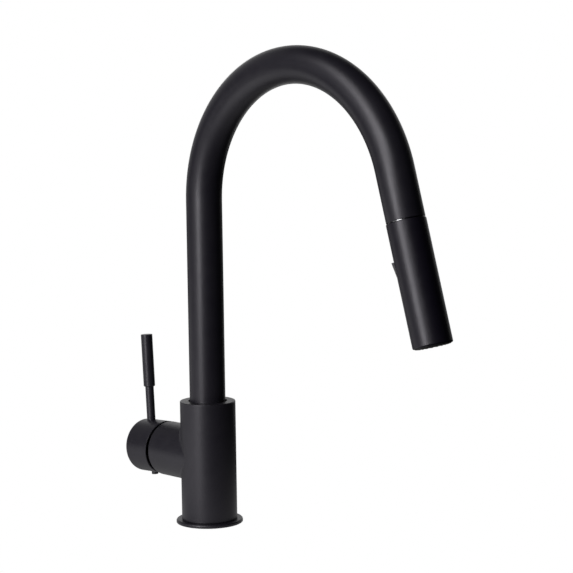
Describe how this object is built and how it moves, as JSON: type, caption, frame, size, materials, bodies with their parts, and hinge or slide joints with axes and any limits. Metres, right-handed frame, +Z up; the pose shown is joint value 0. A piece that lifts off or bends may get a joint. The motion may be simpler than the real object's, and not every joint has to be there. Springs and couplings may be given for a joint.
{
  "type": "pull-down kitchen faucet",
  "caption": "Matte black single-hole pull-down kitchen faucet: swivelling gooseneck spout, spray head on a hose, side valve with slim lever.",
  "frame": {"origin": "on the deck's top face, on the body's vertical axis", "axes": "+Z up; the spout reaches towards -Y and the valve stands out towards +Y"},
  "size_m": [0.0562, 0.352, 0.455],
  "materials": {
    "black_finish": "matte black powder coat over metal",
    "black_plastic": "moulded matte black plastic",
    "white_plastic": "natural acetal",
    "bright_ring": "polished",
    "brass": "machined",
    "zinc_steel": "zinc plated",
    "black_rubber": "moulded rubber",
    "soft_nozzle": "silicone",
    "ceramic": "lapped alumina",
    "hose_braid": "woven nylon braid over a PEX tube"
  },
  "bodies": {
    "base": {"deck_flange": "black_finish", "flange_gasket": "black_rubber", "threaded_shank": "brass", "clamp_rubber_washer": "black_rubber", "clamp_steel_washer": "zinc_steel", "mounting_nut": "zinc_steel", "clamp_screws": "zinc_steel", "main_body": "black_finish", "swivel_washer": "white_plastic", "upper_swivel_bush": "black_plastic", "lower_swivel_bush": "white_plastic", "spray_hose_lower": "hose_braid", "hose_end_connector": "brass", "cartridge_base": "white_plastic", "cartridge_port_seals": "black_rubber", "fixed_ceramic_disc": "ceramic", "cartridge_housing": "white_plastic", "cartridge_nut": "brass", "cartridge_cover": "black_plastic"},
    "spout": {"spout_tube": "black_finish", "spout_hub": "brass", "hub_snap_ring": "zinc_steel", "docking_guide": "white_plastic", "docking_ring": "bright_ring", "spray_hose_upper": "hose_braid"},
    "hose_end": {"spray_hose_end": "hose_braid", "hose_ferrule": "brass", "hose_swivel_nut": "brass"},
    "spray_head": {"spray_head_shell": "black_finish", "docking_nose": "black_plastic", "nose_ring": "black_rubber", "head_waterway": "black_plastic", "hose_seal_washer": "black_rubber", "check_valve": "white_plastic", "button_pin": "zinc_steel", "flow_diffuser": "black_plastic", "aerator_insert": "black_plastic", "face_seal": "black_rubber", "nozzle_mat": "soft_nozzle", "spray_face": "black_plastic"},
    "spray_button": {"spray_button": "black_plastic"},
    "diverter": {"diverter_spool": "brass", "diverter_seals": "black_rubber"},
    "cartridge_turn": {"cartridge_rotor": "white_plastic", "spindle_pin": "zinc_steel"},
    "ceramic_slide": {"moving_ceramic_disc": "ceramic", "disc_carrier": "white_plastic"},
    "handle": {"lever_spindle": "brass", "handle_cap": "black_finish", "handle_set_screw": "zinc_steel", "set_screw_plug": "black_plastic", "lever_rod": "black_finish", "lever_grip": "black_finish"}
  },
  "joints": [
    {"name": "spout_swivel", "type": "hinge", "parent": "base", "child": "spout", "pos_m": [0, 0, 0.09], "axis": [0, 0, 1], "continuous": true},
    {"name": "spray_pull", "type": "slide", "parent": "spout", "child": "hose_end", "axis": [0, -0.2756, -0.9613], "range_m": [0, 0.17], "stiffness_N_per_m": 6, "springref_m": -1},
    {"name": "head_turn", "type": "hinge", "parent": "hose_end", "child": "spray_head", "pos_m": [0, -0.22649, 0.26483], "axis": [0, -0.2756, -0.9613], "continuous": true},
    {"name": "button_press", "type": "hinge", "parent": "spray_head", "child": "spray_button", "pos_m": [-0.00463, -0.22878, 0.22388], "axis": [0.891, 0.4364, -0.1251], "range_deg": [0, 9.5]},
    {"name": "diverter_slide", "type": "slide", "parent": "spray_head", "child": "diverter", "axis": [0, -0.2756, -0.9613], "range_m": [0, 0.00124]},
    {"name": "temperature_turn", "type": "hinge", "parent": "base", "child": "cartridge_turn", "pos_m": [0, 0.044, 0.056], "axis": [0, 1, 0], "range_deg": [-45, 45]},
    {"name": "flow_lift", "type": "hinge", "parent": "cartridge_turn", "child": "handle", "pos_m": [0, 0.044, 0.056], "axis": [-1, 0, 0], "range_deg": [0, 20]},
    {"name": "disc_slide", "type": "slide", "parent": "cartridge_turn", "child": "ceramic_slide", "axis": [0, 0, 1], "range_m": [0, 0.0034]}
  ],
  "couplings": [
    {"joint": "button_press", "follows": "diverter_slide", "rad_per_m": 133.33},
    {"joint": "disc_slide", "follows": "flow_lift", "m_per_rad": 0.0097135}
  ]
}
